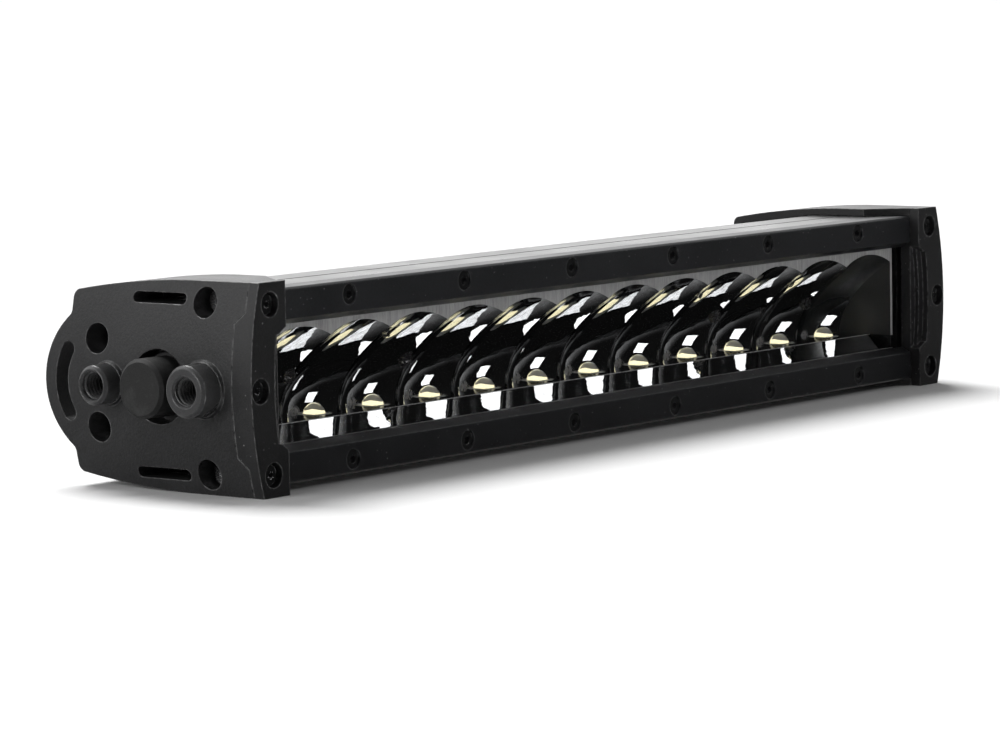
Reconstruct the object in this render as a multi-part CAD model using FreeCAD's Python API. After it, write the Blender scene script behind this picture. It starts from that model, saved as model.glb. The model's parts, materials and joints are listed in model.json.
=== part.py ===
import FreeCAD, Part
import math
import os

# LED light bar, millimetres. X runs along the bar, -Y is the way the light leaves, +Z is up.
# While the pieces are made, Y = 0 is the front plane of the bezel and Z = 0 is mid height.
# save() then moves each piece so that the origin is the bottom centre of the whole bar.

V = FreeCAD.Vector
X_AXIS = V(1, 0, 0)
Y_AXIS = V(0, 1, 0)
Z_AXIS = V(0, 0, 1)

# ---- driving dimensions -------------------------------------------------------------------
led_count = 12
end_module_cells = 2                 # cells in each outer reflector module
cell_pitch = 26.1                    # one LED and its half bowl
end_height = 59.4                    # end caps, bottom to top
housing_rear = 62.3                  # rear edge of the cooling fins

seam = 0.1                           # gap between two castings that meet
slip = 0.15                          # gap between a sleeve and what it covers
screw_gap = 0.05                     # radial gap of a screw in its hole

# fasteners: shank radius, head radius, head height, hexagon socket across flats
m25_cap = (1.25, 2.25, 1.6, 2.0)
m3_cap = (1.5, 2.75, 3.0, 2.5)
m3_low = (1.5, 2.75, 1.6, 2.0)
m4_cap = (2.0, 3.5, 4.0, 3.0)

# lengths along the bar, each half measured from the middle
half_height = end_height / 2
cells_half_length = led_count * cell_pitch / 2
board_half_length = cells_half_length - 0.6
housing_half_length = cells_half_length + 2.8
end_gasket_thick = 0.6
cap_inner_x = housing_half_length + end_gasket_thick
bezel_half_length = cap_inner_x
lens_half_length = bezel_half_length + 2.5
end_half_length = cap_inner_x + 10.8             # to an end cap's top edge
end_crown = 4.2                                  # how far the end face bulges at mid height
end_x = end_half_length + end_crown
crown_radius = (half_height ** 2 + end_crown ** 2) / (2 * end_crown)

# bezel and lens
bezel_top = half_height - 2.5
bezel_edge = 0.6                     # bevel along the bezel's outer front edge
bezel_depth = 8.0
bezel_front_low = bezel_top - 8.7    # inner edge of the flat front
lens_front = 3.6
lens_thick = 2.0
lens_rear = lens_front + lens_thick
lens_half_height = bezel_top - 6.2
window_half_height = lens_half_height - 4.3      # inner edge of the bevel, at the lens
bezel_screw_count = 6
bezel_screw_inset = 31.25            # first and last screw, from the strip's ends
bezel_screw_pitch = 2 * (bezel_half_length - bezel_screw_inset) / (bezel_screw_count - 1)
bezel_screw_z = bezel_top - 3.9
bezel_screw_sunk = 0.4
bezel_screw_length = 12.0

# housing extrusion
flat_top_end = 31.5                  # the top is flat up to here, then falls to the rear
housing_rear_z = bezel_top - 3.6
chamber_top = bezel_top - 6.0
chamber_rear = 37.0
lip_rear = 20.0                      # rear of the thick lips that take the bezel screws
lip_inner_z = lens_half_height - 3.0
shelf_front = 14.0
shelf_z = 2.6 - lip_inner_z
rear_wall_y = chamber_rear + 5.0     # outside of the wall between the chamber and the fins
fin_count = 7
fin_thick = 1.8
fin_pitch = (housing_rear_z - 4.85) / 3
skin = 2.2                           # thickness of the falling top and bottom fins
groove_y = 20.0
groove_width = 1.0
groove_depth = 0.7

# light engine
pad_thick = 0.5
board_thick = 1.4
board_top = shelf_z + pad_thick + board_thick
board_front = shelf_front + 1.2
board_rear = chamber_rear - 0.6
led_y = 24.0
package_side = 7.0
package_thick = 0.7
phosphor_side = 4.6
phosphor_thick = 0.2
dome_radius = 3.2
board_screw_y = board_rear - 2.6
board_screw_length = 7.0

# reflectors
reflector_wall = 1.2
reflector_floor = 0.8                # sheet that lies on the LED board
floor_overlap = 0.4                  # how far that sheet runs into the skirt
led_window_radius = 5.4              # hole in that sheet round each LED
reflector_front = lens_rear + 0.2
reflector_half_height = lip_inner_z - 0.2
arch_top = window_half_height - 1.6  # top of each half bowl at its front plate
skirt_front_z = -window_half_height - 0.1
skirt_foot = 1.7                     # how far the skirt's foot reaches back at its bottom
module_gap = 0.1
reflector_boss_rise = 13.1           # reflector screws, above the LED board
reflector_boss_radius = 2.8
reflector_screw_length = 16.0
bowl_mouth_radius = arch_top - board_top
bowl_depth = led_y - reflector_front
bowl_focus = (math.sqrt(bowl_depth ** 2 + bowl_mouth_radius ** 2) - bowl_depth) / 2
bowl_back = led_y + bowl_focus

# bosses, slots and ports of the end caps
front_boss_y = 14.4
front_boss_radius = 7.35
front_boss_height = 7.7
rear_boss_y = housing_rear - 12.3
rear_boss_radius = 5.6
rear_boss_height = 6.9
boss_thread_radius = 4.0             # M8
boss_mouth_chamfer = 0.6
boss_edge = 0.9                      # bevel round a boss's outer edge
boss_foot = (0.9, 0.25, 1.4)         # raised rim round a boss: extra radius below, above, height
boss_fit = 0.02                      # radial gap of a boss in the end plate

port_y = 31.2
port_radius = 10.5
port_floor_x = cap_inner_x + 8.0
port_web = 3.0                       # thickness that the connector's nut clamps
port_neck_radius = 6.4
front_boss_floor_x = port_floor_x + 0.5
rear_boss_floor_x = port_floor_x + 1.5
bosses = {"front": (front_boss_y, front_boss_radius, front_boss_floor_x, end_x + front_boss_height),
          "rear": (rear_boss_y, rear_boss_radius, rear_boss_floor_x, end_x + rear_boss_height)}

slot_y = port_y + 0.9
slot_z = bezel_top - 2.7
slot_length = 20.0
slot_height = 3.1
arc_slot_radius = 17.85
arc_slot_width = 4.6
arc_slot_half_angle = 30.0
ear_rim = 4.05                       # metal outside the arc slot
ear_radius = arc_slot_radius + arc_slot_width / 2 + ear_rim

# the rest of the end caps
sleeve_x = cap_inner_x - 9.5         # inner edge of the sleeve that covers the housing
sleeve_step_y = 12.0                 # where the sleeve's slanted front edge ends
cap_pocket_x = cap_inner_x + 7.5     # floor of the pockets beside the rear fins
ear_x = cap_inner_x + 8.0            # inner face of the rear ear
ear_step_y = housing_rear + 2.6
rear_y = rear_boss_y + ear_radius
profile_flat_end = 14.0
profile_mid = (42.0, half_height - 1.0)          # a point on the long upper arc
rear_corner_z = half_height - 3.8
rear_corner = 1.6
end_screw_bore_radius = 4.3
end_screw_seat_x = cap_inner_x + 2.5
end_screw_length = 16.0
end_screw_front = (15.1, bezel_top - 3.4)
end_screw_rear = (rear_boss_y + 4.5, 12.5)
end_screw_places = [(y, side * z) for y, z in (end_screw_front, end_screw_rear) for side in (1, -1)]

# trim
trim_front = -3.5
trim_step = 2.0                      # depth of each terrace
trim_edge_offsets = (9.6, 12.2)      # inner edges of the two terraces, from the bulged edge
trim_notch_z = window_half_height + 0.3          # where the inner edge steps outwards
trim_notch_slant = 3.2
parting_z = bezel_front_low - 0.2
parting_slope_z = parting_z + 3.2
parting_y = lens_front
trim_corner_x = cap_inner_x + 6.6
trim_corner_z = bezel_screw_z + 0.2
trim_middle_x = cap_inner_x + 11.2
trim_bore_radius = 3.5
trim_screw_sunk = 1.3                # how far the heads lie below the trim's face
trim_screw_length = 6.0

# connector, its pull-off cap, and the breather at the other end
barrel_radius = 6.2
barrel_bore_radius = 5.2
barrel_length = 9.5
flange_radius = 9.2
flange_thick = 2.0
seal_thick = 0.8
seal_inset = 0.4
flange_x = port_floor_x + seal_thick
flange_face_x = flange_x + flange_thick
insert_face_x = port_floor_x + 4.0
pin_radius = 0.9
pin_z = 2.2
pin_reach = 3.0
cap_outer_radius = 8.4
cap_reach = 7.4                      # how far the pull-off cap stands out of the end plate
cap_fit = 0.05
cap_gap = 0.3
cap_edge = 1.0
nut_across = 17.0
nut_thick = 3.0
nut_x = port_floor_x - port_web      # face of the nut that bears on the end plate
neck_radius = port_neck_radius - screw_gap
breather_bore = 2.5
breather_room = 5.5
membrane_thick = 0.4

# driver
driver_half_length = 75.0
driver_top = chamber_top - 1.2
driver_bottom = driver_top - 17.0
driver_thick = 1.6
driver_standoff = 2.0
driver_face_y = chamber_rear - driver_standoff - driver_thick
driver_screw_inset = 3.0
driver_screw_length = 6.5
wire_radius = 0.9
wire_bend = 2.5
wire_y = port_y - 0.8
lead_radius = 0.7

to_origin = V(0, -(trim_front + rear_y) / 2, half_height)


# ---- helpers -------------------------------------------------------------------------------
def save(name, *solids):
    """Write one node, moved so that the origin is the bottom centre of the bar."""
    shape = solids[0] if len(solids) == 1 else Part.makeCompound(list(solids))
    shape = shape.copy()
    shape.translate(to_origin)
    shape.exportStep("parts/" + name + ".step")


def box(x, y, z):
    """A box from three (low, high) pairs."""
    return Part.makeBox(x[1] - x[0], y[1] - y[0], z[1] - z[0], V(x[0], y[0], z[0]))


def rod(radius, start, end):
    """A round bar from one point to another."""
    return Part.makeCylinder(radius, (end - start).Length, start, end - start)


def along_x(outline, x0, x1):
    """A solid from a closed (y, z) outline, between two places along the bar."""
    points = [V(x0, y, z) for y, z in outline]
    face = Part.Face(Part.makePolygon(points + points[:1]))
    return face.extrude(V(x1 - x0, 0, 0))


def mirrored_outline(upper):
    """Close an outline given for z > 0 with its reflection in z = 0."""
    return upper + [(y, -z) for y, z in reversed(upper)]


def hexagon(across, start, end):
    """A six-sided bar along any axis."""
    axis = end - start
    side = V(0, 0, 1) if abs(axis.z) < 0.5 * axis.Length else X_AXIS
    other = axis.cross(side).normalize()
    corner = across / math.sqrt(3)
    points = []
    for k in range(6):
        turn = math.radians(60 * k)
        points.append(start + side * (corner * math.cos(turn)) + other * (corner * math.sin(turn)))
    return Part.Face(Part.makePolygon(points + points[:1])).extrude(axis)


def screw(kind, seat, direction, length):
    """A socket head screw: seat is under the head, direction is the way the shank points."""
    shank, head, head_height, key = kind
    way = V(direction).normalize()
    top = seat - way * head_height
    body = rod(head, top, seat).fuse(rod(shank, seat, seat + way * length))
    socket = hexagon(key, top, top + way * (head_height * 0.6))
    return body.cut(socket).removeSplitter()


def screw_hole(kind, seat, direction, length):
    """The plain hole for such a screw's shank."""
    way = V(direction).normalize()
    return rod(kind[0] + screw_gap, seat, seat + way * length)


def mirror_x(shape):
    """The same piece at the other end of the bar."""
    return shape.mirror(V(0, 0, 0), X_AXIS)


def cut_all(shape, tools):
    """Cut several tools out of a shape in one step."""
    return shape.cut(Part.makeCompound(tools)).removeSplitter()


# ---- places that several pieces share --------------------------------------------------------
def bezel_screw_seats(side):
    """Under-head points of one bezel strip's screws; side is +1 for the top strip."""
    middle = (bezel_screw_count - 1) / 2
    y = m3_cap[2] + bezel_screw_sunk
    return [V((i - middle) * bezel_screw_pitch, y, side * bezel_screw_z)
            for i in range(bezel_screw_count)]


def led_places():
    middle = (led_count - 1) / 2
    return [(i - middle) * cell_pitch for i in range(led_count)]


def module_ranges():
    """Name, first cell and last cell of each reflector module."""
    right_start = led_count - end_module_cells
    return (("reflector_left", 0, end_module_cells),
            ("reflector_middle", end_module_cells, right_start),
            ("reflector_right", right_start, led_count))


def reflector_screw_xs():
    """One screw mid way along each outer module, and one near each end of the middle one."""
    outer = cells_half_length - end_module_cells / 2 * cell_pitch
    inner = cells_half_length - (end_module_cells + 1) * cell_pitch
    return (-outer, -inner, inner, outer)


def board_screw_xs():
    """Screws of the LED board, between cells, clear of the reflector screws."""
    step = 2 * cell_pitch
    return [k * step for k in (-2.5, -0.5, 0.5, 2.5)]


# ---- housing -----------------------------------------------------------------------------------
def chamber_outline():
    lip = lip_inner_z
    return [(bezel_depth - 1, lip), (lip_rear, lip), (lip_rear, chamber_top),
            (chamber_rear, chamber_top), (chamber_rear, shelf_z), (shelf_front, shelf_z),
            (shelf_front, -lip), (bezel_depth - 1, -lip)]


def air_channel(side, x0, x1):
    """The channel behind the long slots of the end caps."""
    low = slot_z - slot_height / 2
    y0 = slot_y - slot_length / 2
    z = (low, low + slot_height) if side > 0 else (-low - slot_height, -low)
    return box((x0, x1), (y0, y0 + slot_length), z)


def housing_outline():
    return mirrored_outline([(bezel_depth, bezel_top), (flat_top_end, bezel_top),
                             (housing_rear, housing_rear_z)])


def fin_gaps(x):
    """The spaces between the cooling fins, open to the rear."""
    gaps = []
    top_fin = (fin_count - 1) / 2 * fin_pitch
    levels = [-top_fin + k * fin_pitch for k in range(fin_count)]
    floor = rear_wall_y
    for low, high in zip(levels, levels[1:]):
        gaps.append(box((-x, x), (floor, housing_rear + 1),
                        (low + fin_thick / 2, high - fin_thick / 2)))
    slope = (bezel_top - housing_rear_z) / (housing_rear - flat_top_end)
    inner = [(floor, top_fin + fin_thick / 2),
             (floor + 1.0, bezel_top - skin - slope * (floor + 1.0 - flat_top_end)),
             (housing_rear + 1, bezel_top - skin - slope * (housing_rear + 1 - flat_top_end)),
             (housing_rear + 1, top_fin + fin_thick / 2)]
    gaps.append(along_x(inner, -x, x))
    gaps.append(along_x([(y, -z) for y, z in inner], -x, x))
    return gaps


def make_housing():
    x = housing_half_length
    body = along_x(housing_outline(), -x, x)
    tools = [along_x(chamber_outline(), -x - 1, x + 1)]
    tools += [air_channel(side, -x - 1, x + 1) for side in (1, -1)]
    for side in (1, -1):
        z0 = side * (bezel_top - groove_depth / 2)
        tools.append(box((-x - 1, x + 1), (groove_y - groove_width / 2, groove_y + groove_width / 2),
                         (z0 - groove_depth / 2, z0 + groove_depth / 2)))
    tools += fin_gaps(x + 1)
    body = cut_all(body, tools)

    # round ribs among the fins take the rear end screws
    for y, z in end_screw_places[2:]:
        body = body.fuse(rod(end_screw_bore_radius, V(-x, y, z), V(x, y, z)))

    holes = []
    for y, z in end_screw_places:
        for side in (-1, 1):
            seat = V(side * end_screw_seat_x, y, z)
            holes.append(screw_hole(m4_cap, seat, (-side, 0, 0), end_screw_length + 3))
    for side in (1, -1):
        for seat in bezel_screw_seats(side):
            holes.append(screw_hole(m3_cap, seat, Y_AXIS, bezel_screw_length + 1))
    for px in reflector_screw_xs():
        holes.append(screw_hole(m25_cap, reflector_screw_seat(px), Y_AXIS, reflector_screw_length + 1.5))
    for px in board_screw_xs():
        holes.append(screw_hole(m3_low, board_screw_seat(px), -Z_AXIS, board_screw_length + 1))
    for seat in driver_screw_seats():
        holes.append(screw_hole(m25_cap, seat, Y_AXIS, driver_screw_length + 0.5))
    save("housing", cut_all(body, holes))


# ---- bezel, lens and gasket ---------------------------------------------------------------------
def make_bezel(name, side):
    outline = [(0, bezel_front_low), (0, bezel_top - bezel_edge), (bezel_edge, bezel_top),
               (bezel_depth, bezel_top), (bezel_depth, lens_half_height + slip),
               (lens_front, lens_half_height + slip), (lens_front, window_half_height)]
    strip = along_x([(y, side * z) for y, z in outline], -bezel_half_length, bezel_half_length)
    holes = []
    for seat in bezel_screw_seats(side):
        holes.append(rod(m3_cap[1] + slip, V(seat.x, -1, seat.z), seat))
        holes.append(screw_hole(m3_cap, seat, Y_AXIS, bezel_depth))
    save(name, cut_all(strip, holes))
    save("bezel_screws_" + name.split("_")[1],
         *[screw(m3_cap, seat, Y_AXIS, bezel_screw_length) for seat in bezel_screw_seats(side)])


def make_lens():
    x = lens_half_length
    z = lens_half_height
    save("lens", box((-x, x), (lens_front, lens_rear), (-z, z)))
    ring = box((-x, x), (lens_rear, bezel_depth), (-z, z))
    opening = box((-bezel_half_length - seam, bezel_half_length + seam), (lens_rear - 1, bezel_depth + 1),
                  (-lip_inner_z - 0.2, lip_inner_z + 0.2))
    save("lens_gasket", ring.cut(opening))


# ---- light engine ---------------------------------------------------------------------------------
def board_screw_seat(x):
    return V(x, board_screw_y, board_top)


def make_light_engine():
    x = (-board_half_length, board_half_length)
    y = (board_front, board_rear)
    holes = [screw_hole(m3_low, board_screw_seat(px), -Z_AXIS, board_screw_length)
             for px in board_screw_xs()]
    pad = box(x, y, (shelf_z, shelf_z + pad_thick))
    save("thermal_pad", cut_all(pad, holes))
    board = box(x, y, (shelf_z + pad_thick, board_top))
    save("led_board", cut_all(board, holes))
    save("board_screws",
         *[screw(m3_low, board_screw_seat(px), -Z_AXIS, board_screw_length) for px in board_screw_xs()])

    packages = []
    phosphors = []
    domes = []
    half = package_side / 2
    inner = phosphor_side / 2
    top = board_top + package_thick
    for px in led_places():
        packages.append(box((px - half, px + half), (led_y - half, led_y + half), (board_top, top)))
        phosphor = box((px - inner, px + inner), (led_y - inner, led_y + inner),
                       (top, top + phosphor_thick))
        phosphors.append(phosphor)
        dome = Part.makeSphere(dome_radius, V(px, led_y, top), Z_AXIS, 0, 90, 360)
        domes.append(dome.cut(phosphor))
    save("led_packages", *packages)
    save("led_phosphors", *phosphors)
    save("led_domes", *domes)


# ---- reflectors --------------------------------------------------------------------------------------
def bowl(x, focus, back):
    """A solid paraboloid about an LED's axis, opening towards the front."""
    start_radius = math.sqrt(4 * focus * (back + 1))
    points = []
    steps = 12
    for k in range(steps + 1):
        r = start_radius * k / steps
        points.append(V(x, back - r * r / (4 * focus), board_top + r))
    curve = Part.BSplineCurve()
    curve.interpolate(points)
    front = points[-1]
    edges = [curve.toShape(),
             Part.makeLine(front, V(x, front.y, board_top)),
             Part.makeLine(V(x, front.y, board_top), points[0])]
    face = Part.Face(Part.Wire(edges))
    return face.revolve(V(x, 0, board_top), Y_AXIS, 360)


def reflector_screw_seat(x):
    """Under the head of a reflector screw, at the ridge between two half bowls."""
    rise = reflector_boss_rise
    ridge_y = bowl_back - ((cell_pitch / 2) ** 2 + rise ** 2) / (4 * bowl_focus)
    return V(x, ridge_y + m25_cap[2] + 0.4, board_top + rise)


def make_reflector(name, first, last):
    x0 = -cells_half_length + first * cell_pitch
    x1 = -cells_half_length + last * cell_pitch
    wall = reflector_wall
    left_end = wall if first == 0 else -module_gap / 2
    right_end = wall if last == led_count else -module_gap / 2
    span = (x0 - left_end, x1 + right_end)
    centres = [px for px in led_places() if x0 < px < x1]

    shells = []
    hollows = []
    for px in centres:
        low = px - cell_pitch / 2
        cell = box((low, low + cell_pitch), (reflector_front, bowl_back + wall + 1),
                   (board_top, reflector_half_height))
        cell = cell.common(box(span, (0, housing_rear), (-half_height, half_height)))
        shells.append(bowl(px, bowl_focus, bowl_back + wall).common(cell))
        hollow_cell = box((low, low + cell_pitch), (reflector_front - 1, bowl_back + 1),
                          (board_top + reflector_floor, reflector_half_height + 2))
        hollows.append(bowl(px, bowl_focus, bowl_back).common(hollow_cell))

    plate = box(span, (reflector_front, reflector_front + wall), (board_top, reflector_half_height))
    skirt_outline = [(reflector_front, -reflector_half_height), (reflector_front, skirt_front_z),
                     (board_front - seam, board_top + reflector_floor),
                     (board_front - seam, board_top - wall),
                     (reflector_front + skirt_foot, -reflector_half_height)]
    body = plate.multiFuse(shells)
    for end, present in ((span[0], first == 0), (x1, last == led_count)):
        if present:
            nearest = centres[0] if end < x0 else centres[-1]
            wall_box = box((end, end + wall), (reflector_front, bowl_back),
                           (board_top, reflector_half_height))
            body = body.fuse(bowl(nearest, bowl_focus, bowl_back + wall).common(wall_box))
    seats = [reflector_screw_seat(px) for px in reflector_screw_xs() if x0 < px < x1]
    for seat in seats:
        body = body.fuse(rod(reflector_boss_radius, V(seat.x, seat.y - 2, seat.z),
                             V(seat.x, chamber_rear, seat.z)))
    floor_front = board_front - seam - floor_overlap
    open_front = box((span[0] - 1, span[1] + 1), (reflector_front - 1, floor_front),
                     (board_top - 1, board_top + reflector_floor))
    windows = [rod(led_window_radius, V(px, led_y, board_top), V(px, led_y, board_top + reflector_floor))
               for px in centres]
    reliefs = [rod(m3_low[1] + slip, board_screw_seat(px), board_screw_seat(px) + V(0, 0, 5))
               for px in board_screw_xs()]
    body = cut_all(body, hollows + [open_front] + windows + reliefs)
    body = body.fuse(along_x(skirt_outline, span[0], span[1]))
    for seat in seats:
        recess = rod(m25_cap[1] + slip, V(seat.x, seat.y - 9, seat.z), seat)
        body = body.cut(recess).cut(screw_hole(m25_cap, seat, Y_AXIS, reflector_screw_length + 4))
    save(name, body.removeSplitter())


def make_reflectors():
    for name, first, last in module_ranges():
        make_reflector(name, first, last)
    save("reflector_screws",
         *[screw(m25_cap, reflector_screw_seat(px), Y_AXIS, reflector_screw_length)
           for px in reflector_screw_xs()])


# ---- driver and wires ----------------------------------------------------------------------------------
def driver_screw_seats():
    inset = driver_screw_inset
    return [V(sx * (driver_half_length - inset), driver_face_y, z)
            for sx in (-1, 1) for z in (driver_bottom + inset, driver_top - inset)]


def make_driver():
    y = driver_face_y
    board = box((-driver_half_length, driver_half_length), (y, y + driver_thick),
                (driver_bottom, driver_top))
    seats = driver_screw_seats()
    holes = [screw_hole(m25_cap, s, Y_AXIS, driver_screw_length) for s in seats]
    save("driver_board", cut_all(board, holes))
    spacers = []
    for seat in seats:
        start = V(seat.x, y + driver_thick, seat.z)
        end = V(seat.x, chamber_rear, seat.z)
        spacers.append(rod(2.5, start, end).cut(rod(m25_cap[0] + screw_gap, start, end)))
    save("driver_spacers", *spacers)
    save("driver_screws", *[screw(m25_cap, s, Y_AXIS, driver_screw_length) for s in seats])

    middle_z = (driver_bottom + driver_top) / 2
    coils = []
    for px in (-38.0, -8.0, 22.0):
        ring = rod(5.5, V(px, y - 5, middle_z), V(px, y, middle_z))
        coils.append(ring.cut(rod(2.0, V(px, y - 6, middle_z), V(px, y - 1, middle_z))))
    save("driver_coils", *coils)
    cans = [rod(3.1, V(px, y - 5.4, middle_z), V(px, y, middle_z)) for px in (-52.0, 8.0, 38.0)]
    save("driver_capacitors", *cans)
    chips = [box((px - 3, px + 3), (y - 1.6, y), (middle_z - 3, middle_z + 3))
             for px in (-24.0, 50.0, 60.0)]
    save("driver_chips", *chips)


def wire(points):
    """A round wire along straight runs joined by tangent arcs."""
    edges = []
    start = points[0]
    for before, corner, after in zip(points, points[1:], points[2:]):
        back = (before - corner).normalize()
        ahead = (after - corner).normalize()
        half_turn = (math.pi - back.getAngle(ahead)) / 2
        trim = wire_bend * math.tan(half_turn)
        arc_start = corner + back * trim
        arc_end = corner + ahead * trim
        inward = (back + ahead).normalize()
        mid = corner + inward * (wire_bend / math.cos(half_turn) - wire_bend)
        edges.append(Part.makeLine(start, arc_start))
        edges.append(Part.Arc(arc_start, mid, arc_end).toShape())
        start = arc_end
    edges.append(Part.makeLine(start, points[-1]))
    path = Part.Wire(edges)
    profile = Part.Wire([Part.makeCircle(wire_radius, points[0], points[1] - points[0])])
    return path.makePipeShell([profile], True, False)


def make_wires():
    """The supply pair runs from the connector's rear, behind the reflectors, to the driver."""
    start_x = -(cap_inner_x + 0.5)
    for name, pin_side, rise in (("power_wire_red", 1, 4.4), ("power_wire_black", -1, 1.6)):
        level = driver_bottom + rise
        route = [V(start_x, port_y, pin_side * pin_z),
                 V(start_x + 7, port_y, pin_side * pin_z),
                 V(start_x + 20, wire_y, level),
                 V(-driver_half_length + 8, wire_y, level),
                 V(-driver_half_length + 8, driver_face_y, level)]
        save(name, wire(route))
    leads = []
    lead_y = chamber_rear - driver_standoff - driver_thick / 2
    for px in (-60.0, -54.0):
        leads.append(rod(lead_radius, V(px, lead_y, board_top), V(px, lead_y, driver_bottom)))
    save("led_leads", *leads)


# ---- end caps: made for the right end, mirrored for the left --------------------------------------------
def end_profile():
    """Side view of an end cap, as a face in the Y-Z plane at x = 0."""
    corner = rear_corner
    meet_z = math.sqrt(ear_radius ** 2 - (ear_step_y - rear_boss_y) ** 2)
    fillet = 0.9
    ear_z = meet_z - fillet
    ear_y = rear_boss_y + math.sqrt(ear_radius ** 2 - ear_z ** 2)

    def upper(side):
        flat = V(0, profile_flat_end, side * half_height)
        before_corner = V(0, ear_step_y - corner, side * rear_corner_z)
        corner_mid = V(0, ear_step_y - 0.3 * corner, side * (rear_corner_z - 0.55 * corner))
        after_corner = V(0, ear_step_y, side * (rear_corner_z - 1.5 * corner))
        step = V(0, ear_step_y, side * (meet_z + fillet))
        fillet_mid = V(0, ear_step_y + 0.3 * fillet, side * meet_z)
        return [Part.makeLine(V(0, 0, side * half_height), flat),
                Part.Arc(flat, V(0, profile_mid[0], side * profile_mid[1]), before_corner).toShape(),
                Part.Arc(before_corner, corner_mid, after_corner).toShape(),
                Part.makeLine(after_corner, step),
                Part.Arc(step, fillet_mid, V(0, ear_y, side * ear_z)).toShape()]

    edges = upper(1) + upper(-1)
    edges.append(Part.Arc(V(0, ear_y, ear_z), V(0, rear_y, 0), V(0, ear_y, -ear_z)).toShape())
    edges.append(Part.makeLine(V(0, 0, -half_height), V(0, 0, half_height)))
    return Part.Face(Part.Wire(Part.__sortEdges__(edges)))


def crown_block(y0, y1, x0):
    """Everything between x0 and the bulged end surface."""
    centre = end_x - crown_radius
    drum = rod(crown_radius, V(centre, y0, 0), V(centre, y1, 0))
    return drum.common(box((x0, end_x + 1), (y0, y1), (-half_height, half_height)))


def boss(y, radius, floor_x, face_x):
    """A threaded steel bush, pressed into the end plate and standing out of it."""
    edge = boss_edge
    chamfer = boss_mouth_chamfer
    body = rod(radius, V(floor_x, y, 0), V(face_x - edge, y, 0))
    tip = Part.makeCone(radius, radius - edge, edge, V(face_x - edge, y, 0), X_AXIS)
    hole = rod(boss_thread_radius, V(floor_x - 1, y, 0), V(face_x + 1, y, 0))
    mouth = Part.makeCone(boss_thread_radius, boss_thread_radius + chamfer, chamfer,
                          V(face_x - chamfer, y, 0), X_AXIS)
    return cut_all(body.fuse(tip), [hole, mouth])


def boss_rim(y, radius):
    """The low raised rim of the end plate round a boss."""
    lower, upper, height = boss_foot
    start = V(end_x - 0.4, y, 0)
    return Part.makeCone(radius + lower, radius + upper, height, start, X_AXIS)


def boss_seat(y, radius, floor_x):
    return rod(radius + boss_fit, V(floor_x, y, 0), V(end_x + 2, y, 0))


def obround_slot(z):
    """A long slot with round ends, through the end plate."""
    reach = slot_length / 2 - slot_height / 2
    r = slot_height / 2
    x = (sleeve_x, end_x + 1)
    slot = box(x, (slot_y - reach, slot_y + reach), (z - r, z + r))
    for side in (-1, 1):
        y = slot_y + side * reach
        slot = slot.fuse(rod(r, V(x[0], y, z), V(x[1], y, z)))
    return slot


def arc_slot():
    """The curved slot that lets the bar tilt about the rear boss."""
    r = arc_slot_width / 2
    x0 = cap_inner_x + 4
    x1 = end_x + 1
    centre = V(x0, rear_boss_y, 0)
    outer = rod(arc_slot_radius + r, centre, V(x1, rear_boss_y, 0))
    ring = outer.cut(rod(arc_slot_radius - r, centre, V(x1, rear_boss_y, 0)))
    reach = 40.0
    slope = math.tan(math.radians(arc_slot_half_angle)) * reach
    wedge = along_x([(rear_boss_y, 0), (rear_boss_y + reach, slope), (rear_boss_y + reach, -slope)],
                    x0, x1)
    slot = ring.common(wedge)
    for side in (-1, 1):
        turn = side * math.radians(arc_slot_half_angle)
        y = rear_boss_y + arc_slot_radius * math.cos(turn)
        z = arc_slot_radius * math.sin(turn)
        slot = slot.fuse(rod(r, V(x0, y, z), V(x1, y, z)))
    return slot


def trim_rear_outline(gap):
    """(y, z) outline of the room that the trim takes in front of a cap."""
    front = trim_front - 1
    return [(front, half_height + 1), (gap, half_height + 1), (gap, parting_slope_z + gap),
            (parting_y + gap, parting_z + gap), (parting_y + gap, -parting_z - gap),
            (gap, -parting_slope_z - gap), (gap, -half_height - 1), (front, -half_height - 1)]


def trim_screw_seats():
    seat_y = trim_front + m3_low[2] + trim_screw_sunk
    return [V(trim_corner_x, seat_y, trim_corner_z), V(trim_middle_x, seat_y, 0),
            V(trim_corner_x, seat_y, -trim_corner_z)]


def cap_pockets():
    """Rooms inside a cap: one behind the connector, two among the rear screws."""
    wall_y = chamber_rear - 0.5
    gasket_y = rear_wall_y + 2.0
    middle_x = (cap_inner_x - 1, nut_x)
    side_x = (cap_inner_x - 1, cap_pocket_x)
    inner_z, outer_z = 17.5, chamber_top + 0.3
    pockets = [box(middle_x, (port_y - 10.7, wall_y), (-lip_inner_z, lip_inner_z)),
               box(middle_x, (wall_y, gasket_y), (-11.0, 11.0)),
               box(side_x, (gasket_y, housing_rear - 2.3), (inner_z, outer_z)),
               box(side_x, (gasket_y, housing_rear - 2.3), (-outer_z, -inner_z))]
    return pockets


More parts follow.
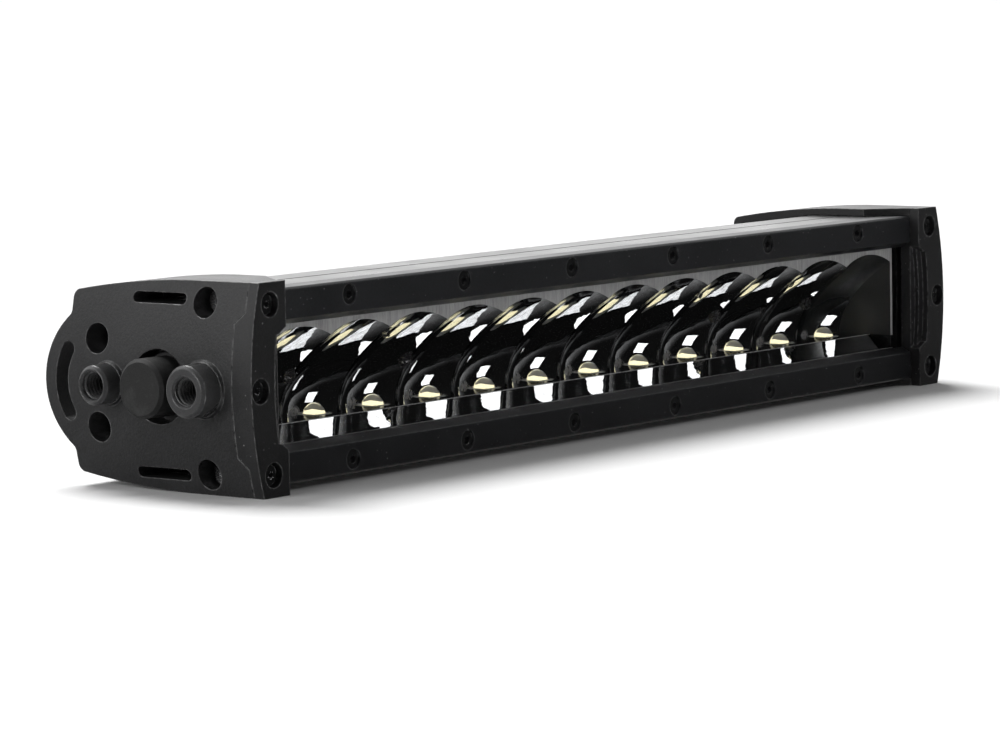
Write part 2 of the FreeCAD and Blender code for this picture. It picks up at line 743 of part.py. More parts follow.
def end_cap():
    x0 = sleeve_x
    profile = end_profile().extrude(V(end_x + 1, 0, 0))
    body = profile.common(crown_block(-1, rear_y + 1, x0))
    for y, radius, floor_x, face_x in bosses.values():
        body = body.fuse(boss_rim(y, radius))

    covered = mirrored_outline([(-9, bezel_top + slip), (flat_top_end, bezel_top + slip),
                                (housing_rear + slip, housing_rear_z + slip)])
    tools = [along_x(covered, x0 - 1, cap_inner_x),
             along_x(trim_rear_outline(seam), x0 - 1, end_x + 9),
             box((x0 - 1, lens_half_length + slip), (-9, bezel_depth),
                 (-lens_half_height - slip, lens_half_height + slip)),
             box((x0 - 1, ear_x), (ear_step_y, rear_y + 1), (-half_height, half_height))]
    corner = [V(x0 - 1, -9, -half_height - 1), V(cap_inner_x, -9, -half_height - 1),
              V(cap_inner_x, 0, -half_height - 1), V(x0, sleeve_step_y, -half_height - 1),
              V(x0 - 1, sleeve_step_y, -half_height - 1)]
    tools.append(Part.Face(Part.makePolygon(corner + corner[:1])).extrude(V(0, 0, end_height + 2)))
    tools += cap_pockets()
    tools += [boss_seat(y, radius, floor_x) for y, radius, floor_x, face_x in bosses.values()]
    tools += [obround_slot(slot_z), obround_slot(-slot_z), arc_slot()]
    tools.append(rod(port_radius, V(port_floor_x, port_y, 0), V(end_x + 1, port_y, 0)))
    tools.append(rod(port_neck_radius, V(x0, port_y, 0), V(end_x, port_y, 0)))
    for y, z in end_screw_places:
        seat = V(end_screw_seat_x, y, z)
        tools.append(rod(end_screw_bore_radius, seat, V(end_x + 1, y, z)))
        tools.append(screw_hole(m4_cap, seat, -X_AXIS, 9))
    for seat in trim_screw_seats():
        tools.append(screw_hole(m3_low, seat, Y_AXIS, trim_screw_length + 1))
    body = cut_all(body, tools)
    return max(body.Solids, key=lambda solid: solid.Volume)


def trim_layer(y0, y1, edge_offset):
    """One terrace of the trim: its inner edge runs beside the bulged outer edge."""
    centre = end_x - crown_radius
    layer = crown_block(y0, y1, bezel_half_length + seam)
    notch_drum = rod(crown_radius - edge_offset, V(centre, y0 - 1, 0), V(centre, y1 + 1, 0))
    inner_x = bezel_half_length + seam
    outer_x = end_x - edge_offset + 1
    upper = [(inner_x - 2, trim_notch_z), (inner_x, trim_notch_z),
             (inner_x + trim_notch_slant, trim_notch_z - trim_notch_slant * 0.6),
             (outer_x, trim_notch_z - trim_notch_slant * 0.6)]
    outline = upper + [(x, -z) for x, z in reversed(upper)]
    points = [V(x, y0 - 1, z) for x, z in outline]
    notch = Part.Face(Part.makePolygon(points + points[:1])).extrude(V(0, y1 - y0 + 2, 0))
    return layer.cut(notch.common(notch_drum))


def end_trim():
    step_y = trim_front + trim_step
    outer_offset, inner_offset = trim_edge_offsets
    trim = trim_layer(trim_front, step_y, outer_offset)
    trim = trim.fuse(trim_layer(step_y, 0, inner_offset))
    middle = crown_block(0, parting_y, bezel_half_length + seam)
    rear = along_x(trim_rear_outline(0), bezel_half_length, end_x + 1)
    trim = trim.fuse(middle.common(rear))
    holes = []
    for seat in trim_screw_seats():
        holes.append(rod(trim_bore_radius, V(seat.x, trim_front - 1, seat.z), seat))
        holes.append(screw_hole(m3_low, seat, Y_AXIS, trim_screw_length + 1))
    return cut_all(trim, holes)


def end_gasket():
    """A thin sheet between the housing's end and the cap, open at the chamber."""
    sheet = box((housing_half_length, cap_inner_x), (bezel_depth + 0.3, rear_wall_y - 0.2),
                (-slot_z + slot_height / 2 + slip, slot_z - slot_height / 2 - slip))
    x0 = housing_half_length - 1
    chamber = along_x(chamber_outline(), x0, cap_inner_x + 1)
    tools = [chamber, rod(port_neck_radius + 3.2, V(x0, port_y, 0), V(cap_inner_x + 1, port_y, 0))]
    for y, z in end_screw_places[:2]:
        tools.append(rod(m4_cap[0] + slip, V(x0, y, z), V(cap_inner_x + 1, y, z)))
    return cut_all(sheet, tools)


def make_ends():
    for name, place in (("right", lambda shape: shape), ("left", mirror_x)):
        save("end_cap_" + name, place(end_cap()))
        for end, sizes in bosses.items():
            save("boss_" + name + "_" + end, place(boss(*sizes)))
        save("end_trim_" + name, place(end_trim()))
        save("end_gasket_" + name, place(end_gasket()))
        save("end_screws_" + name,
             *[place(screw(m4_cap, V(end_screw_seat_x, y, z), -X_AXIS, end_screw_length))
               for y, z in end_screw_places])
        save("trim_screws_" + name,
             *[place(screw(m3_low, seat, Y_AXIS, trim_screw_length)) for seat in trim_screw_seats()])


# ---- ports: the power connector on the left, the breather on the right -----------------------------------
def port_rod(radius, x0, x1):
    return rod(radius, V(x0, port_y, 0), V(x1, port_y, 0))


def port_ring(inner, outer, x0, x1):
    return port_rod(outer, x0, x1).cut(port_rod(inner, x0 - 1, x1 + 1))


def capped_rod(radius, x0, x1):
    """A round bar with a bevel round its outer end."""
    edge = cap_edge
    tip = Part.makeCone(radius, radius - edge, edge, V(x1 - edge, port_y, 0), X_AXIS)
    return port_rod(radius, x0, x1 - edge).fuse(tip)


def clamp_nut():
    nut = hexagon(nut_across, V(nut_x - nut_thick, port_y, 0), V(nut_x, port_y, 0))
    return nut.cut(port_rod(port_neck_radius, nut_x - nut_thick - 1, nut_x + 1))


def flange_seal():
    return port_ring(port_neck_radius, flange_radius - seal_inset, port_floor_x, flange_x)


def make_connector():
    mouth = flange_face_x + barrel_length
    back = cap_inner_x + 0.5
    bore = barrel_bore_radius
    shell = port_ring(bore, neck_radius, back, flange_x + 0.1)
    shell = shell.fuse(port_ring(bore, flange_radius, flange_x, flange_face_x))
    shell = shell.fuse(port_ring(bore, barrel_radius, flange_face_x - 0.1, mouth))
    save("connector_shell", mirror_x(shell.removeSplitter()))

    pins = []
    for side in (-1, 1):
        start = V(back, port_y, side * pin_z)
        pins.append(rod(pin_radius, start, V(insert_face_x + pin_reach, port_y, side * pin_z)))
    insert = cut_all(port_rod(bore, back, insert_face_x), pins)
    save("connector_insert", mirror_x(insert))
    save("connector_pins", *[mirror_x(pin) for pin in pins])
    save("connector_nut", mirror_x(clamp_nut()))
    save("connector_seal", mirror_x(flange_seal()))

    # the rubber cap pulls straight off the barrel
    skirt_x = flange_face_x + cap_gap
    cap = capped_rod(cap_outer_radius, skirt_x, end_x + cap_reach)
    hollow = port_rod(barrel_radius + cap_fit, skirt_x - 1, mouth + cap_gap)
    save("power_cap", mirror_x(cap.cut(hollow).removeSplitter()))


def make_breather():
    outer_x = end_x + cap_reach
    back = nut_x - nut_thick - 1
    body = port_rod(neck_radius, back, flange_x + 0.1)
    body = body.fuse(port_rod(flange_radius, flange_x, flange_face_x))
    body = body.fuse(capped_rod(cap_outer_radius, flange_face_x - 0.1, outer_x))
    tools = [port_rod(breather_bore, back - 1, flange_face_x + 4),
             port_rod(breather_room, flange_face_x, outer_x - 3)]
    centre = V(outer_x - 5, port_y, 0)
    for k in range(4):
        turn = math.radians(45 + 90 * k)
        side = V(0, math.cos(turn), math.sin(turn))
        tools.append(rod(1.0, centre, centre + side * (cap_outer_radius + 1)))
    save("breather_body", cut_all(body, tools))
    save("breather_membrane", port_rod(breather_room - screw_gap, flange_face_x,
                                       flange_face_x + membrane_thick))
    save("breather_nut", clamp_nut())
    save("breather_seal", flange_seal())


# ---- build --------------------------------------------------------------------------------
os.makedirs("parts", exist_ok=True)
make_housing()
make_bezel("bezel_top", 1)
make_bezel("bezel_bottom", -1)
make_lens()
make_light_engine()
make_reflectors()
make_driver()
make_wires()
make_ends()
make_connector()
make_breather()
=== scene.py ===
"""Looks of the LED light bar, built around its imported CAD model. Metres, row frame."""

import json
import math

import bmesh
import bpy
from mathutils import Matrix, Vector


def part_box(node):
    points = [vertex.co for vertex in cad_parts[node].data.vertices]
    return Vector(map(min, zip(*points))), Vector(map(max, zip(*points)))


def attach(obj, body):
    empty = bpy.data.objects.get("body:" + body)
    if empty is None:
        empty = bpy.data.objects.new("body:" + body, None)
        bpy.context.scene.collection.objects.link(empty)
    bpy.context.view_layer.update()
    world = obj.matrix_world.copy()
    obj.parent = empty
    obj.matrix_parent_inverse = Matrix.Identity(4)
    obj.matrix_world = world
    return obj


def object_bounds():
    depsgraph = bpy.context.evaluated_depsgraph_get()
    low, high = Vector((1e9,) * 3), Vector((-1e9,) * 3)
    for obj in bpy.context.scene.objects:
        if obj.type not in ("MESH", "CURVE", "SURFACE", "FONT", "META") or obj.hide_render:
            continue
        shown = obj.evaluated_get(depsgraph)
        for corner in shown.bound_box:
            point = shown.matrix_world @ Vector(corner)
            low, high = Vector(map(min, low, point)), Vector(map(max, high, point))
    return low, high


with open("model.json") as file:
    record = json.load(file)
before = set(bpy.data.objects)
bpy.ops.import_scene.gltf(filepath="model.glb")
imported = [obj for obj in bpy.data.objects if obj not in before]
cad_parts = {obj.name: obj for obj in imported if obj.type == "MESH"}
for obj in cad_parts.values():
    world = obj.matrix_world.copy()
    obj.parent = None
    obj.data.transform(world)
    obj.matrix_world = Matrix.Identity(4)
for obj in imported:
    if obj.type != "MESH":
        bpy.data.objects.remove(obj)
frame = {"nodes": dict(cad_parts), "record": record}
cad_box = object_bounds()
nodes = frame["nodes"]
slot_of = {part["node"]: part["material_slot"] for part in frame["record"]["subparts"]}
mounts = {mount["name"]: mount for mount in frame["record"]["mounts"]}
middle_z = (cad_box[0][2] + cad_box[1][2]) / 2
MM = 0.001
MIDDLE = (0.3, 0.7)                  # the span of a noise's values that colours and gloss are spread over
scene = bpy.context.scene
scene.view_settings.view_transform = "Standard"


# ---- camera ---------------------------------------------------------------------------------------
CAMERA_AZIMUTH = math.radians(-51.647)
CAMERA_ELEVATION = math.radians(5.774)
CAMERA_ROLL = math.radians(-1.119)
CAMERA_DISTANCE = 1290.59 * MM
CAMERA_ASIDE = 38.03 * MM            # how far the bar's front middle is right of the picture's middle
CAMERA_UP = 9.8 * MM                 # and how far above it
CAMERA_LENS = 152.58
SENSOR_WIDTH = 36.0
CAMERA_CLIP = 0.05
BEZEL_SETBACK = 3.5 * MM             # from the end trims' front to the bezel's


def camera_axes():
    cos_az, sin_az = math.cos(CAMERA_AZIMUTH), math.sin(CAMERA_AZIMUTH)
    cos_el, sin_el = math.cos(CAMERA_ELEVATION), math.sin(CAMERA_ELEVATION)
    back = Vector((sin_az * cos_el, -cos_az * cos_el, sin_el))
    level = Vector((cos_az, sin_az, 0))
    rise = back.cross(level)
    cos_roll, sin_roll = math.cos(CAMERA_ROLL), math.sin(CAMERA_ROLL)
    return level * cos_roll + rise * sin_roll, rise * cos_roll - level * sin_roll, back


def add_camera():
    right, up, back = camera_axes()
    target = Vector((0, cad_box[0][1] + BEZEL_SETBACK, middle_z))
    place = target - CAMERA_ASIDE * right - CAMERA_UP * up + CAMERA_DISTANCE * back
    data = bpy.data.cameras.new("camera")
    data.lens = CAMERA_LENS
    data.sensor_width = SENSOR_WIDTH
    data.clip_start = CAMERA_CLIP
    camera = bpy.data.objects.new("camera", data)
    turn = Matrix((right, up, back)).transposed()
    camera.matrix_world = Matrix.Translation(place) @ turn.to_4x4()
    scene.collection.objects.link(camera)
    scene.camera = camera


def add_object(name, mesh, material):
    """Adds a bmesh to the scene as an object with one material."""
    data = bpy.data.meshes.new(name)
    mesh.to_mesh(data)
    mesh.free()
    data.materials.append(material)
    added = bpy.data.objects.new(name, data)
    scene.collection.objects.link(added)
    return added


# ---- node helpers ---------------------------------------------------------------------------------
BEVEL_SAMPLES = 6
EDGE_COSINES = (0.985, 0.85)         # between rounded and flat normals: not an edge yet, fully an edge


class Nodes:
    """Builds one material's node tree."""

    def __init__(self, name):
        self.material = bpy.data.materials.new(name)
        self.material.use_nodes = True
        self.tree = self.material.node_tree
        self.tree.nodes.clear()
        self.output = self.add("ShaderNodeOutputMaterial")
        self.place = self.add("ShaderNodeTexCoord").outputs["Object"]

    def add(self, kind, **values):
        node = self.tree.nodes.new(kind)
        for key, value in values.items():
            setattr(node, key, value)
        return node

    def join(self, source, socket):
        self.tree.links.new(source, socket)

    def set(self, socket, value):
        if isinstance(value, bpy.types.NodeSocket):
            self.join(value, socket)
        else:
            socket.default_value = value

    def principled(self, **values):
        shader = self.add("ShaderNodeBsdfPrincipled")
        for key, value in values.items():
            self.set(shader.inputs[key.replace("_", " ")], value)
        return shader

    def finish(self, shader):
        self.join(shader.outputs[0], self.output.inputs["Surface"])
        return self.material

    def stretched(self, factors):
        mapping = self.add("ShaderNodeMapping")
        self.join(self.place, mapping.inputs["Vector"])
        mapping.inputs["Scale"].default_value = factors
        return mapping.outputs[0]

    def noise(self, feature, detail=2.0, roughness=0.5, stretch=(1, 1, 1)):
        """Noise whose features are that many metres across; a stretch below 1 draws them out."""
        texture = self.add("ShaderNodeTexNoise")
        self.join(self.stretched(stretch), texture.inputs["Vector"])
        texture.inputs["Scale"].default_value = 1 / feature
        texture.inputs["Detail"].default_value = detail
        texture.inputs["Roughness"].default_value = roughness
        return texture.outputs["Fac"]

    def map(self, value, low, high, to_low=0.0, to_high=1.0):
        node = self.add("ShaderNodeMapRange")
        self.join(value, node.inputs["Value"])
        for name, number in (("From Min", low), ("From Max", high), ("To Min", to_low), ("To Max", to_high)):
            node.inputs[name].default_value = number
        return node.outputs["Result"]

    def spread(self, value, low, high):
        """A number or a colour that goes from low to high over the middle of a noise's values."""
        if isinstance(low, tuple):
            return self.mix(self.map(value, *MIDDLE), low, high)
        return self.map(value, *MIDDLE, low, high)

    def math(self, operation, first, second):
        node = self.add("ShaderNodeMath", operation=operation)
        self.set(node.inputs[0], first)
        self.set(node.inputs[1], second)
        return node.outputs[0]

    def mix(self, factor, first, second, blend="MIX"):
        """A mix of two colours; sockets 6 and 7 are its colour inputs and 2 is its colour output."""
        node = self.add("ShaderNodeMix", data_type="RGBA", blend_type=blend)
        self.set(node.inputs["Factor"], factor)
        self.set(node.inputs[6], first)
        self.set(node.inputs[7], second)
        return node.outputs[2]

    def bump(self, height, depth, normal=None):
        node = self.add("ShaderNodeBump")
        self.join(height, node.inputs["Height"])
        node.inputs["Distance"].default_value = depth
        if normal is not None:
            self.join(normal, node.inputs["Normal"])
        return node.outputs[0]

    def soft_edges(self, radius):
        """Normals rounded over every edge, and a mask that is 1 along the edges."""
        bevel = self.add("ShaderNodeBevel", samples=BEVEL_SAMPLES)
        bevel.inputs["Radius"].default_value = radius
        flat = self.add("ShaderNodeNewGeometry").outputs["Normal"]
        dot = self.add("ShaderNodeVectorMath", operation="DOT_PRODUCT")
        self.join(bevel.outputs[0], dot.inputs[0])
        self.join(flat, dot.inputs[1])
        return bevel.outputs[0], self.map(dot.outputs["Value"], *EDGE_COSINES)


def grey(value, tint=(1, 1, 1)):
    return tuple(value * t for t in tint) + (1,)


def scaled(colour, factor):
    return tuple(min(1, part * factor) for part in colour) + (1,)


# ---- materials ------------------------------------------------------------------------------------
PAINT_RADIUS = 0.55 * MM             # how far the paint rounds an edge
WORN_AND_HIGHLIT_GREY = grey(0.55)                  # grey of worn-off paint at edges, which also stands in for a painted highlight along them
DUST = grey(0.5)


def powder_coat(name, colour, roughness, grain=0.45 * MM, depth=0.03 * MM, wear_and_highlight=0.06, dust=0.0):
    """Fine-textured paint: an orange-peel grain, worn and polished edges whose lighter grey is partly a
    painted highlight, and specks of dust.
    """
    n = Nodes(name)
    peel = n.noise(grain, detail=3, roughness=0.6)
    cloud = n.noise(14 * MM, detail=4)
    rounded, edge = n.soft_edges(PAINT_RADIUS)
    shade = n.spread(cloud, grey(0.88), grey(1.12))
    grains = n.mix(n.map(peel, 0.35, 0.7), grey(0.8), grey(1.25))
    paint = n.mix(1.0, n.mix(1.0, shade, grains, "MULTIPLY"), (*colour, 1), "MULTIPLY")
    # painted highlight: edges turn light grey and metallic, partly from worn paint and partly as a painted
    # edge glint
    worn_and_highlit_mask = n.math("MULTIPLY", edge, n.map(n.noise(1.6 * MM, detail=3), 0.35, 0.65))
    worn_and_highlit_edge = n.math("MULTIPLY", worn_and_highlit_mask, wear_and_highlight)
    surface = n.mix(worn_and_highlit_edge, paint, WORN_AND_HIGHLIT_GREY)
    if dust:
        speck = n.map(n.noise(0.9 * MM, detail=1), 0.78 - dust, 0.8 - dust)
        surface = n.mix(n.math("MULTIPLY", speck, 0.35), surface, DUST)
    rough = n.spread(cloud, roughness - 0.05, roughness + 0.05)
    polished = n.math("SUBTRACT", rough, n.math("MULTIPLY", edge, 0.2))
    shader = n.principled(Base_Color=surface, Roughness=polished, Metallic=worn_and_highlit_edge,
                          Normal=n.bump(peel, depth, normal=rounded))
    return n.finish(shader)


def anodised(name, colour, roughness):
    """Extruded and anodised: faint die lines run along the bar."""
    n = Nodes(name)
    lines = n.noise(0.5 * MM, detail=3, roughness=0.7, stretch=(0.01, 1, 1))
    cloud = n.noise(20 * MM, detail=3)
    rounded, edge = n.soft_edges(0.3 * MM)
    base = n.spread(lines, grey(colour * 0.8), grey(colour * 1.25))
    worn = n.mix(n.math("MULTIPLY", edge, 0.05), base, grey(0.6))
    rough = n.spread(cloud, roughness - 0.04, roughness + 0.04)
    shader = n.principled(Base_Color=worn, Roughness=rough,
                          Normal=n.bump(lines, 0.004 * MM, normal=rounded))
    return n.finish(shader)


def rubber(name, value, roughness=0.75):
    """Matt rubber with fine pores and pale scuffs."""
    n = Nodes(name)
    pores = n.noise(0.25 * MM, detail=2)
    scuffs = n.map(n.noise(5 * MM, detail=6, roughness=0.7), 0.5, 0.75)
    base = n.mix(scuffs, grey(value), grey(value * 1.6 + 0.01))
    rounded = n.soft_edges(0.3 * MM)[0]
    shader = n.principled(Base_Color=base, Roughness=n.spread(pores, roughness - 0.1, roughness + 0.1),
                          Normal=n.bump(pores, 0.006 * MM, normal=rounded))
    shader.inputs["Specular IOR Level"].default_value = 0.35
    return n.finish(shader)


def moulded(name, colour, roughness):
    """Moulded or printed plastic, ceramic and solder mask: a faint mottle and a fine skin."""
    n = Nodes(name)
    skin = n.noise(0.3 * MM, detail=2)
    mottle = n.noise(4 * MM, detail=4)
    shader = n.principled(Base_Color=n.spread(mottle, scaled(colour, 0.9), scaled(colour, 1.1)),
                          Roughness=n.spread(mottle, roughness, roughness + 0.08),
                          Normal=n.bump(skin, 0.003 * MM))
    return n.finish(shader)


def metal(name, colour, roughness, wear_and_highlight=0.0):
    """Bare or blackened metal with a fine grain; its edges are lightened, partly as worn metal and partly as
    a painted glint.
    """
    n = Nodes(name)
    lines = n.noise(0.3 * MM, detail=3, roughness=0.7)
    rounded, edge = n.soft_edges(0.15 * MM)
    base = n.spread(lines, scaled(colour, 0.8), scaled(colour, 1.15))
    if wear_and_highlight:
        # painted highlight: edges mixed towards light grey, partly worn metal and partly a painted glint
        base = n.mix(n.math("MULTIPLY", edge, wear_and_highlight), base, grey(0.6))
    shader = n.principled(Base_Color=base, Metallic=1.0,
                          Roughness=n.spread(lines, roughness * 0.8, roughness * 1.2),
                          Normal=n.bump(lines, 0.003 * MM, normal=rounded))
    return n.finish(shader)


FACING_COSINES = (0.985, 0.995)      # of a normal with an axis: not flat to it yet, flat to it


def reflector_metal(name):
    """Vacuum-metallised bowls. The flat front plate is brushed, and its light grey is partly a painted sheen;
    the end walls are dull and dark.
    """
    n = Nodes(name)
    ripple = n.noise(9 * MM, detail=2)
    haze = n.noise(2.5 * MM, detail=5, roughness=0.7)
    normal = n.add("ShaderNodeNewGeometry").outputs["True Normal"]
    parts = n.add("ShaderNodeSeparateXYZ")
    n.join(normal, parts.inputs[0])
    front = n.map(n.math("MULTIPLY", parts.outputs["Y"], -1.0), *FACING_COSINES)
    side = n.map(n.math("ABSOLUTE", parts.outputs["X"], 0.0), *FACING_COSINES)
    flat = n.math("MAXIMUM", front, side)
    brushed = n.noise(0.4 * MM, detail=3, roughness=0.7, stretch=(1, 1, 0.05))
    # painted sheen: the plate's light grey partly stands in for its shine
    plate = n.spread(brushed, grey(0.26), grey(0.5))
    dull = n.mix(side, plate, grey(0.07))
    bright = n.mix(n.map(haze, 0.4, 0.8), grey(0.74, (0.98, 0.99, 1)), grey(0.55))
    rough = n.math("ADD", n.map(haze, 0.4, 0.8, 0.01, 0.05), n.math("MULTIPLY", flat, 0.4))
    shader = n.principled(Base_Color=n.mix(flat, bright, dull), Metallic=n.math("SUBTRACT", 1.0, flat),
                          Roughness=rough, Normal=n.bump(ripple, 0.08 * MM))
    return n.finish(shader)


def clear(name, index, tint, roughness=0.02):
    """Clear sheet that lets light through to what lies behind it; only its outer faces shine."""
    n = Nodes(name)
    smudge = n.map(n.noise(12 * MM, detail=5, roughness=0.7), 0.45, 0.8)
    fresnel = n.add("ShaderNodeFresnel")
    fresnel.inputs["IOR"].default_value = index
    through = n.add("ShaderNodeBsdfTransparent")
    through.inputs["Color"].default_value = tint
    gloss = n.add("ShaderNodeBsdfGlossy")
    n.set(gloss.inputs["Roughness"], n.map(smudge, 0, 1, roughness, roughness + 0.06))
    shader = n.add("ShaderNodeMixShader")
    back = n.add("ShaderNodeNewGeometry").outputs["Backfacing"]
    n.join(n.math("MULTIPLY", fresnel.outputs[0], n.math("SUBTRACT", 1.0, back)), shader.inputs[0])
    n.join(through.outputs[0], shader.inputs[1])
    n.join(gloss.outputs[0], shader.inputs[2])
    return n.finish(shader)


def dome(name):
    """A clear silicone dome. Light falls through it onto the phosphor."""
    n = Nodes(name)
    skin = n.noise(1.2 * MM, detail=2)
    glass = n.principled(Base_Color=grey(1.0), Roughness=0.03, IOR=1.41, Transmission_Weight=1.0,
                         Normal=n.bump(skin, 0.01 * MM))
    through = n.add("ShaderNodeBsdfTransparent")
    path = n.add("ShaderNodeLightPath")
    shader = n.add("ShaderNodeMixShader")
    n.join(path.outputs["Is Shadow Ray"], shader.inputs[0])
    n.join(glass.outputs[0], shader.inputs[1])
    n.join(through.outputs[0], shader.inputs[2])
    return n.finish(shader)


def phosphor(name):
    """Yellow phosphor with a painted glow: it gives off a faint emission though the LED is not lit."""
    n = Nodes(name)
    grains = n.noise(0.15 * MM, detail=2)
    base = n.spread(grains, (0.75, 0.71, 0.46, 1), (0.9, 0.87, 0.66, 1))
    shader = n.principled(Base_Color=base, Roughness=n.spread(grains, 0.5, 0.7))
    # painted glow: a faint emission on the unlit phosphor
    shader.inputs["Emission Color"].default_value = (1.0, 0.97, 0.86, 1)
    shader.inputs["Emission Strength"].default_value = 0.5
    return n.finish(shader)


def make_materials():
    return {
        "cap_paint": powder_coat("cap_paint", (0.02, 0.02, 0.0208), 0.44, grain=0.7 * MM,
                                 depth=0.11 * MM, wear_and_highlight=0.4),
        "trim_paint": powder_coat("trim_paint", (0.0165, 0.0165, 0.0172), 0.4, depth=0.05 * MM,
                                  wear_and_highlight=0.5, dust=0.03),
        "bezel_paint": powder_coat("bezel_paint", (0.0165, 0.0172, 0.0195), 0.43, depth=0.01 * MM,
                                   wear_and_highlight=0.16, dust=0.02),
        "housing_paint": anodised("housing_paint", 0.03, 0.3),
        "clear_lens": clear("clear_lens", 1.25, grey(0.96)),
        "reflector_chrome": reflector_metal("reflector_chrome"),
        "gasket_rubber": rubber("gasket_rubber", 0.014),
        "cap_rubber": rubber("cap_rubber", 0.015, 0.65),
        "black_steel": metal("black_steel", (0.42, 0.42, 0.43), 0.2, wear_and_highlight=0.8),
        "boss_steel": powder_coat("boss_steel", (0.042, 0.042, 0.043), 0.3, depth=0.006 * MM, wear_and_highlight=0.3),
        "plain_steel": metal("plain_steel", (0.55, 0.55, 0.56), 0.25, wear_and_highlight=0.2),
        "thermal_grey": rubber("thermal_grey", 0.35, 0.8),
        "board_white": moulded("board_white", (0.72, 0.72, 0.7), 0.3),
        "led_ceramic": moulded("led_ceramic", (0.8, 0.8, 0.78), 0.35),
        "led_phosphor": phosphor("led_phosphor"),
        "led_silicone": dome("led_silicone"),
        "board_green": moulded("board_green", (0.02, 0.12, 0.05), 0.3),
        "part_black": moulded("part_black", (0.02, 0.02, 0.02), 0.5),
        "ferrite_grey": moulded("ferrite_grey", (0.1, 0.1, 0.1), 0.6),
        "can_aluminium": metal("can_aluminium", (0.7, 0.7, 0.7), 0.25),
        "wire_red": moulded("wire_red", (0.45, 0.02, 0.02), 0.4),
        "wire_black": moulded("wire_black", (0.015, 0.015, 0.015), 0.4),
        "nylon_black": moulded("nylon_black", (0.025, 0.025, 0.026), 0.5),
        "contact_brass": metal("contact_brass", (0.8, 0.62, 0.28), 0.2),
        "membrane_white": moulded("membrane_white", (0.8, 0.8, 0.8), 0.8),
    }


# ---- screw threads in the four bosses ---------------------------------------------------------------
THREAD_DEPTH = 0.62 * MM
THREAD_PITCH = 1.25 * MM
THREAD_STEPS = 40                    # per turn
THREAD_FOOT = 0.42                   # half the ridge's width at its foot, as a share of the pitch
THREAD_CREST = 0.1                   # half its width at its crest, as a share of that at its foot
THREAD_FADE = 0.5                    # turns over which it rises and falls at its ends
THREAD_LEAST = 0.05                  # its height there, as a share of its full height
THREAD_INSET = 0.6 * MM              # depth of the chamfer at a boss's mouth


def thread_ridge(name, side, y, hole_radius, x_inner, x_outer):
    """The helical ridge inside a tapped hole that opens towards side along X."""
    half = THREAD_FOOT * THREAD_PITCH
    turns = (x_outer - x_inner - 2 * half) / THREAD_PITCH
    count = int(turns * THREAD_STEPS)
    fade_steps = THREAD_STEPS * THREAD_FADE
    mesh = bmesh.new()
    rows = []
    for k in range(count + 1):
        turn = 2 * math.pi * k / THREAD_STEPS
        along = x_inner + half + THREAD_PITCH * k / THREAD_STEPS
        fade = min(1, k / fade_steps, (count - k) / fade_steps)
        crest = hole_radius - THREAD_DEPTH * max(THREAD_LEAST, fade)
        outline = ((-half, hole_radius), (-THREAD_CREST * half, crest), (THREAD_CREST * half, crest),
                   (half, hole_radius))
        row = []
        for offset, radius in outline:
            place = (side * (along + offset), y + radius * math.cos(turn), middle_z + radius * math.sin(turn))
            row.append(mesh.verts.new(place))
        rows.append(row)
    for first, second in zip(rows, rows[1:]):
        for near in range(len(first)):
            far = (near + 1) % len(first)
            mesh.faces.new((first[near], first[far], second[far], second[near]))
    mesh.faces.new(rows[0])
    mesh.faces.new(rows[-1])
    bmesh.ops.recalc_face_normals(mesh, faces=mesh.faces)
    ridge = add_object(name, mesh, materials["boss_steel"])
    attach(ridge, "light_bar")


def make_threads():
    for side, word in ((-1, "left"), (1, "right")):
        for place in ("front", "rear"):
            hole = mounts[word + "_" + place + "_boss"]
            low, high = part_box("boss_" + word + "_" + place)
            mouth = max(abs(low[0]), abs(high[0])) - THREAD_INSET
            floor = mouth - hole["dims"]["length_mm"] * MM
            thread_ridge(word + "_" + place + "_thread", side, hole["pos_m"][1], hole["dims"]["r_mm"] * MM,
                         floor, mouth)


# ---- studio -----------------------------------------------------------------------------------------
ROOM_AXIS = (0.45, 0.75, 0.48)       # the room is brightest this way
ROOM_SPAN = (-0.1, 0.95)             # along that axis, from dim to bright
ROOM_DIM = 0.012
ROOM_BRIGHT = 1.4
ROOM_FILL = 0.15
ROOM_SHADE = 0.8                     # the walls' grey, which all three strengths multiply
FLOOR_HALF = 40.0
SUN_FROM = (0.3, 0.6, 1)
SUN_POWER = 3.35
SUN_ANGLE = 32.0
BAR_MIDDLE = (0, 0, 0.03)
CARDS = (                            # name, place, aimed at, width, height, watts
    ("left_key", (-1.3, 0.2, 0.42), (-0.1, 0, 0.03), 0.7, 0.7, 6.8),
    ("low_card", (-0.1, -0.95, -0.5), BAR_MIDDLE, 0.75, 0.5, 3.4),
    ("front_card", (0.17, -1.0, 0.66), BAR_MIDDLE, 0.34, 0.34, 1.3),
    ("rear_card", (0.9, 0.9, 0.18), (0.1, 0, 0.05), 1.2, 0.5, 1.0),
)


def area_light(name, place, target, width, height, power):
    data = bpy.data.lights.new(name, "AREA")
    data.shape = "RECTANGLE"
    data.size = width
    data.size_y = height
    data.energy = power
    light = bpy.data.objects.new(name, data)
    light.location = place
    light.rotation_euler = (Vector(target) - Vector(place)).to_track_quat("-Z", "Y").to_euler()
    light.visible_camera = False
    scene.collection.objects.link(light)


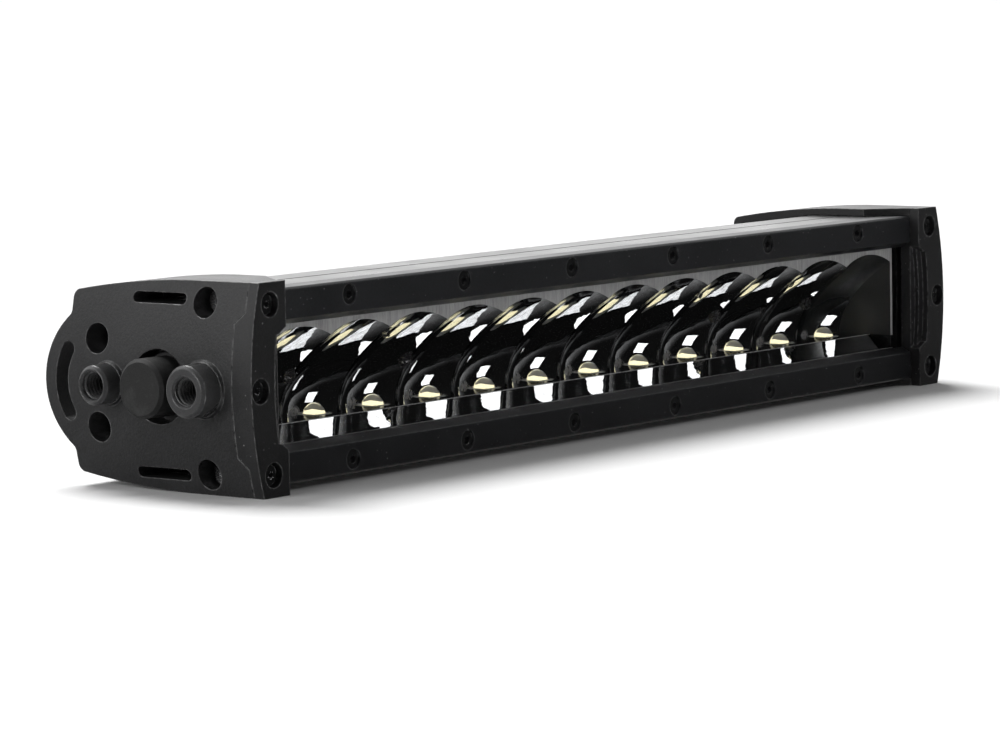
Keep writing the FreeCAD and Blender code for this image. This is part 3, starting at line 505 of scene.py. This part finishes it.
def make_world():
    """White to the camera, an even fill for matt light, and for gloss a dim room with a bright side."""
    world = bpy.data.worlds.new("studio")
    scene.world = world
    world.use_nodes = True
    tree = world.node_tree
    tree.nodes.clear()

    def background(shade, strength):
        node = tree.nodes.new("ShaderNodeBackground")
        node.inputs["Color"].default_value = grey(shade)
        node.inputs["Strength"].default_value = strength
        return node.outputs[0]

    def choose(ray, otherwise, chosen):
        node = tree.nodes.new("ShaderNodeMixShader")
        tree.links.new(path.outputs[ray], node.inputs[0])
        tree.links.new(otherwise, node.inputs[1])
        tree.links.new(chosen, node.inputs[2])
        return node.outputs[0]

    path = tree.nodes.new("ShaderNodeLightPath")
    place = tree.nodes.new("ShaderNodeTexCoord")
    along = tree.nodes.new("ShaderNodeVectorMath")
    along.operation = "DOT_PRODUCT"
    along.inputs[1].default_value = ROOM_AXIS
    ramp = tree.nodes.new("ShaderNodeMapRange")
    ramp.interpolation_type = "SMOOTHSTEP"
    numbers = zip(("From Min", "From Max", "To Min", "To Max"), (*ROOM_SPAN, ROOM_DIM, ROOM_BRIGHT))
    for name, number in numbers:
        ramp.inputs[name].default_value = number
    room = background(ROOM_SHADE, 1.0)
    tree.links.new(place.outputs["Generated"], along.inputs[0])
    tree.links.new(along.outputs["Value"], ramp.inputs["Value"])
    tree.links.new(ramp.outputs["Result"], room.node.inputs["Strength"])
    surroundings = choose("Is Diffuse Ray", room, background(ROOM_SHADE, ROOM_FILL))
    seen = choose("Is Camera Ray", surroundings, background(1.0, 1.0))
    tree.links.new(seen, tree.nodes.new("ShaderNodeOutputWorld").inputs["Surface"])


def make_floor():
    """A white sheet. Gloss doesn't see it, so a card below it can shine on the reflectors."""
    n = Nodes("floor_paper")
    fibres = n.noise(3 * MM, detail=4)
    material = n.finish(n.principled(Base_Color=n.spread(fibres, grey(0.96), grey(0.98)), Roughness=0.9))
    mesh = bmesh.new()
    corners = [mesh.verts.new((x * FLOOR_HALF, y * FLOOR_HALF, cad_box[0][2]))
               for x, y in ((-1, -1), (1, -1), (1, 1), (-1, 1))]
    mesh.faces.new(corners)
    floor = add_object("floor", mesh, material)
    floor.visible_glossy = False


def make_lights():
    ceiling = bpy.data.lights.new("ceiling", "SUN")
    ceiling.energy = SUN_POWER
    ceiling.angle = math.radians(SUN_ANGLE)
    panel = bpy.data.objects.new("ceiling", ceiling)
    panel.rotation_euler = Vector(SUN_FROM).to_track_quat("Z", "Y").to_euler()
    scene.collection.objects.link(panel)
    for card in CARDS:
        area_light(*card)


# ---- build ------------------------------------------------------------------------------------------
add_camera()
materials = make_materials()
for name, node in nodes.items():
    for index in range(len(node.data.materials)):
        node.data.materials[index] = materials[slot_of[name]]
make_threads()
make_world()
make_floor()
make_lights()

bpy.context.view_layer.update()
